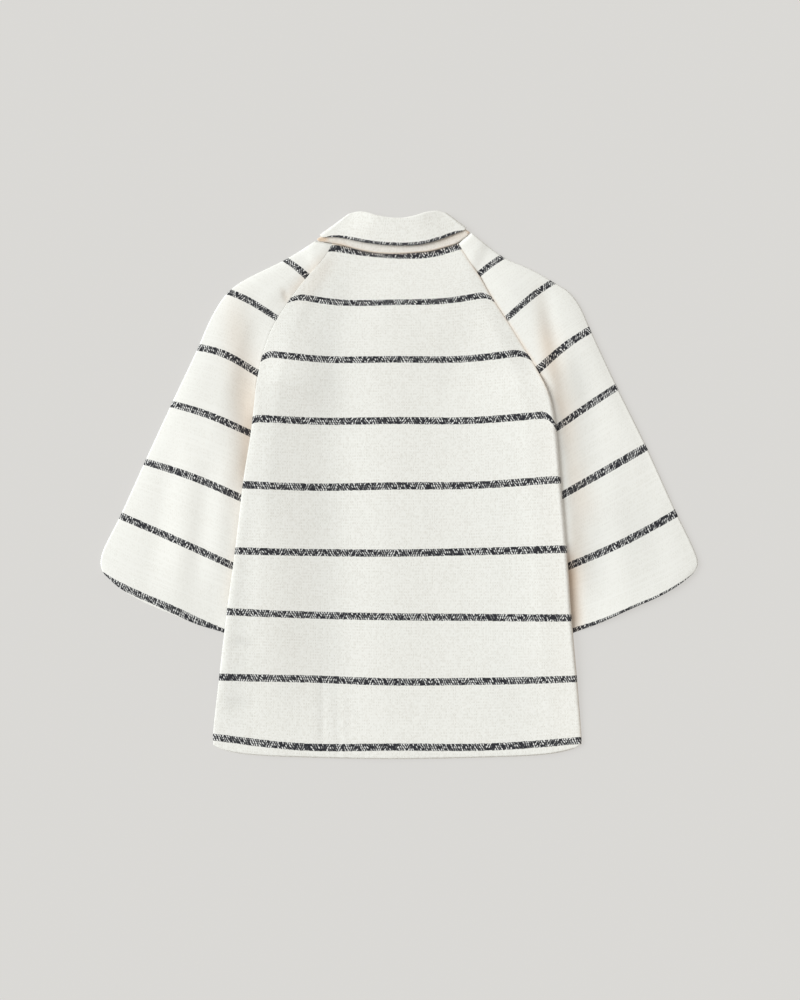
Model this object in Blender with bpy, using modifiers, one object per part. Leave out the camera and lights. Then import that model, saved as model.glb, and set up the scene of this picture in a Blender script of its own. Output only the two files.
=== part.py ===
"""A child's raglan top with elbow sleeves and a turn-down collar, laid flat with its back uppermost.

Sizes are in millimetres until the mesh is made. X runs across the garment, Y runs from the hem up
to the collar, and Z rises from the table. The origin is on the table, under the middle of the
whole garment. The front lies on the table, the back lies on the front, and the sides of the body
lie on the inner edges of the sleeves.
"""

import math

import bmesh
import bpy

MM = 0.001
WELD_DISTANCE = 0.00001

# Cloth, the gap along a seam, and the least gap between two layers
WALL = 1.2
SEAM_GAP = 0.6
LAYER_GAP = 0.3

# Outline of the body: the raglan seams down to the armpits, then the side seams
BODY_EDGE = (
    # y, left, right
    (219.0, -59.5, 52.5),
    (211.5, -63.0, 57.0),
    (200.5, -71.0, 64.0),
    (188.0, -82.0, 72.5),
    (169.0, -97.0, 83.5),
    (144.0, -113.0, 100.0),
    (128.5, -119.5, 109.5),
    (115.0, -123.5, 118.0),
    (99.0, -127.0, 127.0),
    (85.5, -129.0, 133.5),
    (72.0, -130.5, 138.0),
    (46.0, -133.5, 142.0),
    (4.5, -140.0, 145.5),
    (-58.5, -147.5, 151.0),
    (-119.0, -155.5, 156.5),
    (-175.5, -162.0, 161.5),
    (-227.0, -167.5, 165.5),
    (-236.0, -167.0, 165.5),
)
HEM = (
    # part of the way across, y
    (0.00, -235.0),
    (0.02, -238.5),
    (0.10, -243.0),
    (0.25, -245.5),
    (0.50, -247.0),
    (0.75, -245.5),
    (0.90, -243.0),
    (0.98, -238.0),
    (1.00, -234.5),
)

# Neck seam at the back, and the front neck with the slit that lets the head through
BACK_NECK = (
    # x, y
    (-76.0, 219.5),
    (-62.0, 218.0),
    (-48.5, 215.0),
    (-35.0, 211.5),
    (-21.5, 209.0),
    (-4.0, 208.0),
    (14.0, 209.0),
    (28.0, 210.5),
    (41.5, 214.0),
    (53.0, 218.0),
    (66.0, 227.5),
)
NECK_CORNERS = (217.5, 217.5)
FRONT_NECK_DROP = 42.0
FRONT_NECK_ROUNDNESS = 0.8
SLIT_LENGTH = 60.0
SLIT_WIDTH = 1.2

# The collar is a flattened cone, wide at the neck seam and narrow at the fold. These are the
# middles of its side folds, and its fold and leaf edge across the back between them
NECK_SIDES = ((-73.0, 220.0), (63.0, 226.0))
LEAF_SIDES = ((-69.4, 222.7), (58.9, 229.3))
FOLD_SIDES = ((-42.5, 242.2), (40.3, 242.8))
SIDE_FOLD_RISE = 2.6
COLLAR_BACK = (
    # part of the way across, fold y, leaf edge y
    (0.00, 244.8, 222.7),
    (0.08, 246.2, 223.0),
    (0.16, 245.5, 221.6),
    (0.28, 242.6, 218.4),
    (0.41, 240.8, 216.0),
    (0.54, 240.3, 215.1),
    (0.68, 242.3, 215.8),
    (0.81, 245.6, 219.8),
    (0.92, 246.9, 225.2),
    (1.00, 245.4, 229.3),
)
# Its front halves, which lie on the table under the front
CENTRE_X = -4.0
COLLAR_POINT = (38.0, 152.0)
FRONT_FOLD_Y = 193.0
COLLAR_PARTING = 2.5
STAND_OFFSET = 1.6
LEAF_OFFSET = 3.3
ROLL_RADIUS = 1.6
ROLL_PART = 0.06
STAND_TOP_PART = 0.90

# Sleeves from the neck to the cuff: the outer fold, and where the same line meets the body
LEFT_SLEEVE = (
    # station, outer x, outer y, inner y
    (0.35, -75.5, 219.5, 217.0),
    (1.00, -102.5, 203.0, 187.5),
    (1.50, -128.0, 190.5, 168.5),
    (1.80, -144.5, 181.5, 158.0),
    (2.05, -155.5, 172.0, 148.0),
    (2.30, -163.5, 161.0, 138.5),
    (2.60, -172.0, 145.0, 123.5),
    (3.00, -181.0, 124.0, 100.5),
    (4.00, -205.0, 73.0, 43.0),
    (5.00, -229.0, 21.0, -19.0),
    (6.00, -251.0, -27.5, -84.0),
    (6.60, -266.0, -57.5, -117.5),
    (6.85, -269.0, -69.5, -131.0),
    (7.05, -267.0, -79.0, -145.0),
)
RIGHT_SLEEVE = (
    # station, outer x, outer y, inner y
    (0.35, 65.5, 227.0, 217.2),
    (1.00, 93.5, 205.5, 189.5),
    (1.50, 116.0, 195.5, 171.0),
    (1.80, 129.5, 188.5, 157.5),
    (2.05, 141.0, 181.5, 147.5),
    (2.30, 153.5, 173.5, 136.5),
    (2.60, 163.5, 160.0, 123.0),
    (3.00, 172.5, 140.0, 103.5),
    (4.00, 196.5, 88.5, 43.0),
    (5.00, 223.0, 34.5, -19.0),
    (6.00, 250.0, -25.0, -83.0),
    (6.60, 264.5, -55.0, -117.5),
    (6.85, 269.5, -70.0, -132.5),
    (7.05, 265.5, -79.5, -144.5),
)
# How far the cuffs bow downwards, from the station where the bow begins
CUFF_START = 6.0
LEFT_CUFF = (
    # part of the way out, bow
    (0.00, 0.0),
    (0.25, 3.6),
    (0.38, 6.6),
    (0.50, 7.8),
    (0.63, 8.8),
    (0.76, 9.1),
    (0.89, 6.6),
    (1.00, 0.0),
)
RIGHT_CUFF = (
    # part of the way out, bow
    (0.00, 0.0),
    (0.21, 1.8),
    (0.38, 4.4),
    (0.58, 5.0),
    (0.77, 6.0),
    (0.90, 4.2),
    (1.00, 0.0),
)
# Below the armpit the inner edge of a sleeve leaves the body's edge and runs straight under it
ARMPIT_STATION = 3.5
CLOSING_STATIONS = 0.5
LEFT_INNER_EDGE = -126.0
RIGHT_INNER_EDGE = 130.0
TUCK_START_Y = 75.0
TUCK_END_Y = 50.0
TROUGH_WIDTH = 9.0
SLEEVE_FOLD = 1.8
UNDERARM_FOLD = 1.5

# Where the body climbs onto the sleeves, and settles again past the cuffs
CLIMB_START_X = 96.0
CLIMB_END_X = 122.0
CLIMB_START_Y = 112.0
CLIMB_END_Y = 84.0
SETTLE_START_Y = -150.0
SETTLE_END_Y = -178.0

# Where the cloth climbs over the front of the collar
COLLAR_CLIMB_START = 40.0
COLLAR_CLIMB_END = 13.0

# Loft of the cloth, how far the upper layer stands off the lower one, and its long soft folds
EDGE_LOFT = 0.9
BODY_LOFT = 1.7
SLEEVE_LOFT = 1.8
COLLAR_LOFT = 2.4
BODY_FOLDS = (
    # x at the yoke, x at the hem, half width, height
    (-100.0, -118.0, 26.0, 0.7),
    (-66.0, -76.0, 30.0, -0.8),
    (-16.0, -22.0, 34.0, 0.8),
    (44.0, 58.0, 36.0, -0.8),
    (112.0, 126.0, 26.0, 0.6),
)
SLEEVE_FOLDS = (
    # part of the way out at the top, the same at the cuff, half width, height
    (0.30, 0.22, 0.12, 0.4),
    (0.45, 0.38, 0.10, -0.4),
    (0.60, 0.55, 0.12, 0.4),
    (0.75, 0.74, 0.10, -0.3),
)

# Fineness of the meshes. The front of the collar has a column at every second one of the body's
BODY_COLUMNS = 24
BACK_ROWS = 36
FRONT_ROWS = 32
SLEEVE_ROWS = 24
SLEEVE_COLUMNS = 7
SLEEVE_FOLD_STEPS = 4
UNDERARM_STEPS = 2
COLLAR_BACK_COLUMNS = 20
COLLAR_SIDE_STEPS = 4
COLLAR_FRONT_STEPS = 6
LEAF_ROWS = 4
STAND_ROWS = 3
ROLL_ANGLES = (30.0, 60.0, 85.0)

CLOTH_ROUGHNESS = 0.9
COLOURS = {
    "front": (0.80, 0.79, 0.73, 1.0),
    "back": (0.82, 0.81, 0.76, 1.0),
    "sleeve_left": (0.78, 0.76, 0.69, 1.0),
    "sleeve_right": (0.78, 0.76, 0.69, 1.0),
    "collar_stand": (0.70, 0.63, 0.55, 1.0),
    "collar_leaf": (0.83, 0.82, 0.77, 1.0),
}


def blend(a, b, part):
    return a + (b - a) * part


def blend_points(a, b, part):
    return tuple(blend(a[i], b[i], part) for i in range(2))


def smooth_step(start, end, value):
    part = min(max((value - start) / (end - start), 0.0), 1.0)
    return part * part * (3.0 - 2.0 * part)


def through(table, column, at):
    """The smooth curve through one column of a table, read at a value of its first column."""
    rows = sorted(table)
    at = min(max(at, rows[0][0]), rows[-1][0])
    index = 0
    while index < len(rows) - 2 and at > rows[index + 1][0]:
        index += 1

    def slope(i):
        low = rows[max(i - 1, 0)]
        high = rows[min(i + 1, len(rows) - 1)]
        return (high[column] - low[column]) / (high[0] - low[0])

    span = rows[index + 1][0] - rows[index][0]
    t = (at - rows[index][0]) / span
    ends = rows[index][column] * (1 + 2 * t) * (1 - t) ** 2 + rows[index + 1][column] * t * t * (3 - 2 * t)
    return ends + slope(index) * span * t * (1 - t) ** 2 - slope(index + 1) * span * t * t * (1 - t)


def body_left(y):
    return through(BODY_EDGE, 1, y)


def body_right(y):
    return through(BODY_EDGE, 2, y)


def over_collar(x, y):
    """How far a layer is lifted by the front of the collar, which lies under it at the neck."""
    point_x, point_y = COLLAR_POINT
    slope = (NECK_SIDES[0][1] - point_y) / (CENTRE_X - NECK_SIDES[0][0] + 2.0 - point_x)
    edge = point_y + slope * max(abs(x - CENTRE_X) - point_x, 0.0)
    return (WALL + LAYER_GAP) * smooth_step(edge - COLLAR_CLIMB_START, edge - COLLAR_CLIMB_END, y)


def over_sleeve(x, y):
    """How far the body is lifted by the inner edge of the sleeve under its side."""
    height = 2 * UNDERARM_FOLD + LAYER_GAP + 0.1
    across = smooth_step(CLIMB_START_X, CLIMB_END_X, abs(x))
    below_armpit = smooth_step(CLIMB_START_Y, CLIMB_END_Y, y)
    past_cuff = smooth_step(SETTLE_START_Y, SETTLE_END_Y, y)
    return height * across * below_armpit * (1.0 - past_cuff)


def front_height(x, y):
    return over_collar(x, y) + over_sleeve(x, y)


def fold_height(folds, place, down):
    """The sum of the long soft folds at a place across, at a part of the way down."""
    total = 0.0
    for top, bottom, half_width, height in folds:
        distance = (place - blend(top, bottom, down)) / half_width
        total += height * math.exp(-distance * distance)
    return total


def back_height(x, y, across, down):
    """Top face of the back: it lies on the front with a little air between them."""
    strength = smooth_step(0.0, 0.15, down) * (1.0 - (2.0 * across - 1.0) ** 4)
    fading = 1.0 - 0.5 * smooth_step(0.8, 1.0, down)
    loft = EDGE_LOFT + strength * (BODY_LOFT + fading * fold_height(BODY_FOLDS, x, down))
    return front_height(x, y) + 2 * WALL + LAYER_GAP + loft


def body_point(top, across, down):
    """A point of the body's plan. The middle runs straight down, though the sides differ."""
    y = blend(top, through(HEM, 1, across), down)
    left = body_left(y)
    right = body_right(y)
    straighten = (CENTRE_X - 0.5 * (left + right)) * (1.0 - (2.0 * across - 1.0) ** 2)
    return blend(left, right, across) + straighten, y


def back_neck(across):
    corner = blend(*NECK_CORNERS, across)
    return through(BACK_NECK, 1, blend(body_left(corner), body_right(corner), across)) - SEAM_GAP


def front_neck(across):
    """The front neck dips between the same corners as the back neck."""
    dip = math.sin(math.pi * across) ** FRONT_NECK_ROUNDNESS
    return blend(*NECK_CORNERS, across) - SEAM_GAP - FRONT_NECK_DROP * dip


def back_rows():
    rows = []
    for row in range(BACK_ROWS + 1):
        down = row / BACK_ROWS
        points = []
        for column in range(BODY_COLUMNS + 1):
            across = column / BODY_COLUMNS
            x, y = body_point(back_neck(across), across, down)
            points.append((x, y, back_height(x, y, across, down)))
        rows.append(points)
    return rows


def front_rows():
    """The front from its neck to the hem. Its middle column is doubled, and parts along the slit."""
    middle = BODY_COLUMNS // 2
    slit_end = front_neck(0.5) - SLIT_LENGTH
    rows = []
    for row in range(FRONT_ROWS + 1):
        down = row / FRONT_ROWS
        points = []
        for column in range(BODY_COLUMNS + 1):
            across = column / BODY_COLUMNS
            x, y = body_point(front_neck(across), across, down)
            z = front_height(x, y)
            if column == middle:
                parting = SLIT_WIDTH / 2 if y > slit_end else 0.0
                points.append((x - parting, y, z))
                x += parting
            points.append((x, y, z))
        rows.append(points)
    return rows


def sleeve_section(outer, inner, station, hidden, cuff):
    """One ring of a sleeve: along the table from its inner edge, round the outer fold, and back over.

    Above the armpit the ring is open at the raglan seam. Below it the underarm fold closes the
    ring, and the strip that the body hides stays thin.
    """
    width = math.dist(outer, inner)
    flat_end = width - SLEEVE_FOLD
    closing = smooth_step(ARMPIT_STATION - CLOSING_STATIONS, ARMPIT_STATION, station)
    inner_level = blend(2 * WALL + LAYER_GAP + EDGE_LOFT, 2 * UNDERARM_FOLD, closing)
    down = (station - LEFT_SLEEVE[0][0]) / (LEFT_SLEEVE[-1][0] - LEFT_SLEEVE[0][0])
    loft = SLEEVE_LOFT * blend(0.2, 1.0, smooth_step(0.0, 0.35, down))

    def top(distance):
        out = min(max((distance - hidden) / (flat_end - hidden), 0.0), 1.0)
        swell = loft * (1.0 - (2.0 * out - 1.0) ** 4)
        return blend(inner_level, 2 * SLEEVE_FOLD, out) + swell * (1.0 + 0.5 * fold_height(SLEEVE_FOLDS, out, down))

    def underarm(step, direction):
        """Distance from the inner edge and height over the table, from the edge of the fold to its face."""
        angle = 0.5 * math.pi * step / UNDERARM_STEPS
        return UNDERARM_FOLD * (1 - math.cos(angle)), UNDERARM_FOLD * (1 + direction * math.sin(angle))

    section = []
    for step in range(UNDERARM_STEPS):
        distance, height = underarm(step, -1)
        section.append((distance, height * closing))
    for step in range(SLEEVE_COLUMNS + 1):
        section.append((blend(UNDERARM_FOLD, flat_end, step / SLEEVE_COLUMNS), 0.0))
    for step in range(1, SLEEVE_FOLD_STEPS):
        angle = math.pi * step / SLEEVE_FOLD_STEPS
        section.append((flat_end + SLEEVE_FOLD * math.sin(angle), SLEEVE_FOLD * (1 - math.cos(angle))))
    for step in reversed(range(SLEEVE_COLUMNS + 1)):
        distance = blend(UNDERARM_FOLD, flat_end, step / SLEEVE_COLUMNS)
        section.append((distance, top(distance)))
    for step in reversed(range(UNDERARM_STEPS)):
        distance, height = underarm(step, 1)
        section.append((distance, blend(inner_level, height, closing)))

    near_cuff = max((station - CUFF_START) / (LEFT_SLEEVE[-1][0] - CUFF_START), 0.0)
    points = []
    for distance, height in section:
        x, y = blend_points(inner, outer, distance / width)
        y -= through(cuff, 1, distance / width) * near_cuff**1.5
        points.append((x, y, height + over_collar(x, y)))
    return points


def sleeve_rows(table, edge, inner_edge, cuff):
    """Sections of a sleeve. Its inner edge follows the body's edge, then runs straight under it."""
    side = math.copysign(1.0, inner_edge)
    stations = [blend(table[0][0], table[-1][0], row / SLEEVE_ROWS) for row in range(SLEEVE_ROWS + 1)]
    armpit = min(stations, key=lambda station: abs(station - ARMPIT_STATION))
    stations[stations.index(armpit)] = ARMPIT_STATION
    rows = []
    for station in stations:
        outer = (through(table, 1, station), through(table, 2, station))
        inner_y = through(table, 3, station)
        tuck = smooth_step(TUCK_START_Y, TUCK_END_Y, inner_y)
        inner_x = blend(edge(inner_y) + side * SEAM_GAP, inner_edge, tuck)
        hidden = max(abs(edge(inner_y)) - abs(inner_x), 0.0) + TROUGH_WIDTH
        rows.append(sleeve_section(outer, (inner_x, inner_y), station, hidden, cuff))
    return rows


def front_neck_point(across):
    """A point just inside the front neck, for the collar seam."""
    x, y = body_point(front_neck(across), across, 0.0)
    inward = (CENTRE_X - x, NECK_CORNERS[0] + SEAM_GAP - y)
    length = math.hypot(*inward)
    return x + SEAM_GAP * inward[0] / length, y + SEAM_GAP * inward[1] / length


def collar_front(side, lower):
    """Lower and upper points of one front half of the collar, from the side of the neck to the centre."""
    direction = (-1, 1)[side]
    steps = COLLAR_FRONT_STEPS + 1
    centre = CENTRE_X + direction * COLLAR_PARTING
    point = (CENTRE_X + direction * COLLAR_POINT[0], COLLAR_POINT[1])
    pairs = []
    for step in range(1, steps + 1):
        part = step / steps
        upper_y = blend(FOLD_SIDES[side][1], FRONT_FOLD_Y, smooth_step(0.0, 1.0, part))
        upper = (blend(FOLD_SIDES[side][0], centre, part), upper_y)
        if lower == "leaf":
            pairs.append((blend_points(LEAF_SIDES[side], point, part), upper))
            continue
        across = 0.5 * (step - 1) / COLLAR_FRONT_STEPS
        x, y = front_neck_point(across if side == 0 else 1.0 - across)
        if step == steps:
            x += direction * COLLAR_PARTING
        pairs.append(((x, y), upper))
    return pairs


def collar_row(height, offset, lower):
    """One line round the collar: under the garment, up round one side, over the back, and under again.

    The height is 0 at its lower edge and 1 at the fold. The offset is from the collar's middle plane.
    """
    middle = LEAF_OFFSET
    low_sides = LEAF_SIDES if lower == "leaf" else NECK_SIDES
    centres = [blend_points(low_sides[side], FOLD_SIDES[side], height) for side in range(2)]
    outward = []
    for side in range(2):
        along = [FOLD_SIDES[side][i] - NECK_SIDES[side][i] for i in range(2)]
        length = math.hypot(*along)
        outward.append((-abs(along[1]) / length * (1, -1)[side], abs(along[0]) / length))

    def front(side):
        return [(*blend_points(low, high, height), middle - offset) for low, high in collar_front(side, lower)]

    def side_fold(side):
        points = []
        for step in range(COLLAR_SIDE_STEPS + 1):
            angle = math.pi * step / COLLAR_SIDE_STEPS
            reach = offset * math.sin(angle)
            rise = reach * outward[side][1]
            if step < COLLAR_SIDE_STEPS / 2:
                rounded = blend(SIDE_FOLD_RISE, offset * outward[side][1], math.sin(angle) ** 2)
                rise = blend(rise, rounded, height)
            x = centres[side][0] + reach * outward[side][0]
            points.append((x, centres[side][1] + rise, middle + offset * math.cos(angle)))
        return points

    back = []
    for step in range(1, COLLAR_BACK_COLUMNS):
        part = step / COLLAR_BACK_COLUMNS
        plateau = 1.0 - (2.0 * part - 1.0) ** 4
        neck_x = blend(NECK_SIDES[0][0], NECK_SIDES[1][0], part)
        x = blend(centres[0][0], centres[1][0], part)
        if lower == "leaf":
            low = through(COLLAR_BACK, 2, part)
            lift = COLLAR_LOFT * plateau * blend(0.4, 1.0, height)
        else:
            low = through(BACK_NECK, 1, neck_x)
            lift = COLLAR_LOFT * plateau * height * height
        back.append((x, blend(low, through(COLLAR_BACK, 1, part), height), middle + offset + lift))
    return front(0)[::-1] + side_fold(0)[::-1] + back + side_fold(1) + front(1)


def stand_rows():
    heights = [STAND_TOP_PART * row / STAND_ROWS for row in range(STAND_ROWS + 1)]
    return [collar_row(height, STAND_OFFSET, "stand") for height in reversed(heights)]


def leaf_rows():
    """The leaf from the inner end of its roll, over the fold, down to its free edge."""
    rows = []
    for degrees in sorted(ROLL_ANGLES, reverse=True):
        angle = math.radians(degrees)
        height = 1.0 - ROLL_PART * (1.0 - math.sin(angle))
        rows.append(collar_row(height, LEAF_OFFSET - ROLL_RADIUS * (1.0 - math.cos(angle)), "leaf"))
    for row in reversed(range(LEAF_ROWS + 1)):
        rows.append(collar_row((1.0 - ROLL_PART) * row / LEAF_ROWS, LEAF_OFFSET, "leaf"))
    return rows


def cloth_material(name):
    material = bpy.data.materials.new(name + "_cloth")
    material.use_nodes = True
    shader = material.node_tree.nodes["Principled BSDF"]
    shader.inputs["Base Color"].default_value = COLOURS[name]
    shader.inputs["Roughness"].default_value = CLOTH_ROUGHNESS
    shader.inputs["Metallic"].default_value = 0.0
    return material


def add_cloth(collection, name, rows, faces_up=True, doubled=None):
    """A sheet through rows of points, with its outer face on them and its thickness inside.

    A doubled column stands beside its copy, with no face between the two.
    """
    mesh = bpy.data.meshes.new(name)
    sheet = bmesh.new()
    grid = [[sheet.verts.new([MM * value for value in point]) for point in row] for row in rows]
    for upper, lower in zip(grid, grid[1:]):
        for column in range(len(upper) - 1):
            if column == doubled:
                continue
            corners = [upper[column], lower[column], lower[column + 1], upper[column + 1]]
            sheet.faces.new(corners if faces_up else corners[::-1])
    bmesh.ops.remove_doubles(sheet, verts=sheet.verts, dist=WELD_DISTANCE)
    sheet.to_mesh(mesh)
    sheet.free()
    mesh.shade_smooth()
    piece = bpy.data.objects.new(name, mesh)
    collection.objects.link(piece)
    mesh.materials.append(cloth_material(name))
    wall = piece.modifiers.new("wall", "SOLIDIFY")
    wall.thickness = WALL * MM
    wall.offset = -1.0
    return piece


def main():
    for existing in list(bpy.data.objects):
        bpy.data.objects.remove(existing, do_unlink=True)
    collection = bpy.data.collections.new("raglan_top")
    bpy.context.scene.collection.children.link(collection)
    add_cloth(collection, "front", front_rows(), faces_up=False, doubled=BODY_COLUMNS // 2)
    add_cloth(collection, "back", back_rows())
    left_rows = sleeve_rows(LEFT_SLEEVE, body_left, LEFT_INNER_EDGE, LEFT_CUFF)
    right_rows = sleeve_rows(RIGHT_SLEEVE, body_right, RIGHT_INNER_EDGE, RIGHT_CUFF)
    add_cloth(collection, "sleeve_left", left_rows)
    add_cloth(collection, "sleeve_right", right_rows, faces_up=False)
    add_cloth(collection, "collar_stand", stand_rows())
    add_cloth(collection, "collar_leaf", leaf_rows())


main()
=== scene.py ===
"""The looks of a child's raglan top with elbow sleeves, laid flat with its back uppermost.

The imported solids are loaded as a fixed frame, and each of them is replaced by a finer sheet of cloth
of the same form. Sizes are in millimetres until a mesh is made: X runs across the garment, Y from the
hem up to the collar, and Z rises from the table.
"""

import math

import bpy
import numpy as np
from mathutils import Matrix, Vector


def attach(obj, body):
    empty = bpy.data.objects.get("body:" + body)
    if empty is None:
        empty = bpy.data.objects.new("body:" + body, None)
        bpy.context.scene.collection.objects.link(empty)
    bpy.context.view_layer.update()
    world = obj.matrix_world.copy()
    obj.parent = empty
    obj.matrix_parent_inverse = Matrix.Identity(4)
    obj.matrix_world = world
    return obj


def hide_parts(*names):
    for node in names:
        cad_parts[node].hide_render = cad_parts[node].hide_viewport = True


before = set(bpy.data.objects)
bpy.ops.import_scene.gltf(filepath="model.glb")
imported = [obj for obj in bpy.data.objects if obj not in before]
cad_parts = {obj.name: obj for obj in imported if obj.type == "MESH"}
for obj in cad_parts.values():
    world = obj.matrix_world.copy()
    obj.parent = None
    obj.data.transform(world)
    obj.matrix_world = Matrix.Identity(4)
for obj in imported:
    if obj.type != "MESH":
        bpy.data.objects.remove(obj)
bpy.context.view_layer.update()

MM = 0.001

# Cloth as modelled in the solids, and the thinner cloth shown here
SOLID_WALL = 1.2
LAYER_GAP = 0.3
CLOTH = 0.9
SEAM_OPENING = 0.04

# The flat cut of each sleeve in metres: its width, its length and its area in square metres
LEFT_SLEEVE_CUT = (0.318, 0.393, 0.0661)
RIGHT_SLEEVE_CUT = (0.310, 0.396, 0.0655)

# Outline of the body: the raglan seams down to the armpits, then the side seams
BODY_EDGE = (
    # y, left, right
    (219.0, -59.5, 52.5),
    (211.5, -63.0, 57.0),
    (200.5, -71.0, 64.0),
    (188.0, -82.0, 72.5),
    (169.0, -97.0, 83.5),
    (144.0, -113.0, 100.0),
    (128.5, -119.5, 109.5),
    (115.0, -123.5, 118.0),
    (99.0, -127.0, 127.0),
    (85.5, -129.0, 133.5),
    (72.0, -130.5, 138.0),
    (46.0, -133.5, 142.0),
    (4.5, -140.0, 145.5),
    (-58.5, -147.5, 151.0),
    (-119.0, -155.5, 156.5),
    (-175.5, -162.0, 161.5),
    (-227.0, -167.5, 165.5),
    (-236.0, -167.0, 165.5),
)
HEM = (
    # part of the way across, y
    (0.00, -235.0),
    (0.02, -238.5),
    (0.10, -243.0),
    (0.25, -245.5),
    (0.50, -247.0),
    (0.75, -245.5),
    (0.90, -243.0),
    (0.98, -238.0),
    (1.00, -234.5),
)
BACK_NECK = (
    # x, y
    (-76.0, 219.5),
    (-62.0, 218.0),
    (-48.5, 215.0),
    (-35.0, 211.5),
    (-21.5, 209.0),
    (-4.0, 208.0),
    (14.0, 209.0),
    (28.0, 210.5),
    (41.5, 214.0),
    (53.0, 218.0),
    (66.0, 227.5),
)
NECK_CORNERS = (217.5, 217.5)
FRONT_NECK_DROP = 42.0
FRONT_NECK_ROUNDNESS = 0.8
SLIT_LENGTH = 60.0
SLIT_WIDTH = 1.2
SLIT_LEVEL_WIDTH = 150.0

# The collar is a flattened cone, wide at the neck seam and narrow at the fold
NECK_SIDES = ((-73.0, 220.0), (63.0, 226.0))
LEAF_SIDES = ((-69.4, 222.7), (58.9, 229.3))
FOLD_SIDES = ((-42.5, 242.2), (40.3, 242.8))
SIDE_FOLD_RISE = 2.6
COLLAR_BACK = (
    # part of the way across, fold y, leaf edge y
    (0.00, 244.8, 222.7),
    (0.08, 246.2, 223.0),
    (0.16, 245.5, 221.6),
    (0.28, 242.6, 218.4),
    (0.41, 240.8, 216.0),
    (0.54, 240.3, 215.1),
    (0.68, 242.3, 215.8),
    (0.81, 245.6, 219.8),
    (0.92, 246.9, 225.2),
    (1.00, 245.4, 229.3),
)
CENTRE_X = -4.0
COLLAR_POINT = (38.0, 152.0)
FRONT_FOLD_Y = 193.0
COLLAR_PARTING = 2.5
STAND_OFFSET = 1.6
LEAF_OFFSET = 3.3
ROLL_RADIUS = 1.6
ROLL_PART = 0.06
STAND_TOP_PART = 0.90
LEAF_SLIP = (0.5, 3.6)
LEAF_SLIP_REACH = 64.0
LEAF_SLIP_POWER = 10
COLLAR_CLIMB_START = 40.0
COLLAR_CLIMB_END = 13.0

# Sleeves from the neck to the cuff. A station is the number of the stripe that runs there
LEFT_SLEEVE = (
    # station, outer x, outer y, inner y
    (0.35, -75.5, 219.5, 217.0),
    (1.00, -102.5, 203.0, 187.5),
    (1.50, -128.0, 190.5, 168.5),
    (1.80, -144.5, 181.5, 158.0),
    (2.05, -155.5, 172.0, 148.0),
    (2.30, -163.5, 161.0, 138.5),
    (2.60, -172.0, 145.0, 123.5),
    (3.00, -181.0, 124.0, 100.5),
    (4.00, -205.0, 73.0, 43.0),
    (5.00, -229.0, 21.0, -19.0),
    (6.00, -251.0, -27.5, -84.0),
    (6.60, -266.0, -57.5, -117.5),
    (6.85, -269.0, -69.5, -131.0),
    (7.05, -267.0, -79.0, -145.0),
)
RIGHT_SLEEVE = (
    # station, outer x, outer y, inner y
    (0.35, 65.5, 227.0, 217.2),
    (1.00, 93.5, 205.5, 189.5),
    (1.50, 116.0, 195.5, 171.0),
    (1.80, 129.5, 188.5, 157.5),
    (2.05, 141.0, 181.5, 147.5),
    (2.30, 153.5, 173.5, 136.5),
    (2.60, 163.5, 160.0, 123.0),
    (3.00, 172.5, 140.0, 103.5),
    (4.00, 196.5, 88.5, 43.0),
    (5.00, 223.0, 34.5, -19.0),
    (6.00, 250.0, -25.0, -83.0),
    (6.60, 264.5, -55.0, -117.5),
    (6.85, 269.5, -70.0, -132.5),
    (7.05, 265.5, -79.5, -144.5),
)
ARMPIT_STATION = 3.5
CLOSING_STATIONS = 0.5
LEFT_INNER_EDGE = -126.0
RIGHT_INNER_EDGE = 130.0
TUCK_START_Y = 98.0
TUCK_END_Y = 70.0
TROUGH_WIDTH = 6.0
SLEEVE_FOLD = 1.8
UNDERARM_FOLD = 1.5
DEEPEST_DENT = -1.8

# Where the body climbs onto the sleeves, and settles again past the cuffs
CLIMB_START_X = 96.0
CLIMB_END_X = 122.0
CLIMB_START_Y = 112.0
CLIMB_END_Y = 84.0
SETTLE_START_Y = -150.0
SETTLE_END_Y = -178.0
CLIMB_HEIGHT = 2 * UNDERARM_FOLD + LAYER_GAP + 0.1
SOFT_COLLAR_CLIMB = (95.0, 0.0)
SOFT_CLIMB_X = (58.0, 134.0)
SOFT_SETTLE_Y = (-135.0, -228.0)

# Loft of the cloth, and the long soft folds that fall down the body
EDGE_LOFT = 0.9
BODY_LOFT = 1.4
SLEEVE_LOFT = 1.8
COLLAR_LOFT = 2.4
BODY_FOLDS = (
    # x at the yoke, x at the hem, half width, height
    (-100.0, -118.0, 26.0, 0.7),
    (-66.0, -76.0, 30.0, -0.8),
    (-16.0, -22.0, 34.0, 0.8),
    (44.0, 58.0, 36.0, -0.8),
    (138.0, 160.0, 40.0, 1.3),
)
FOLD_GAIN = 1.2

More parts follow.
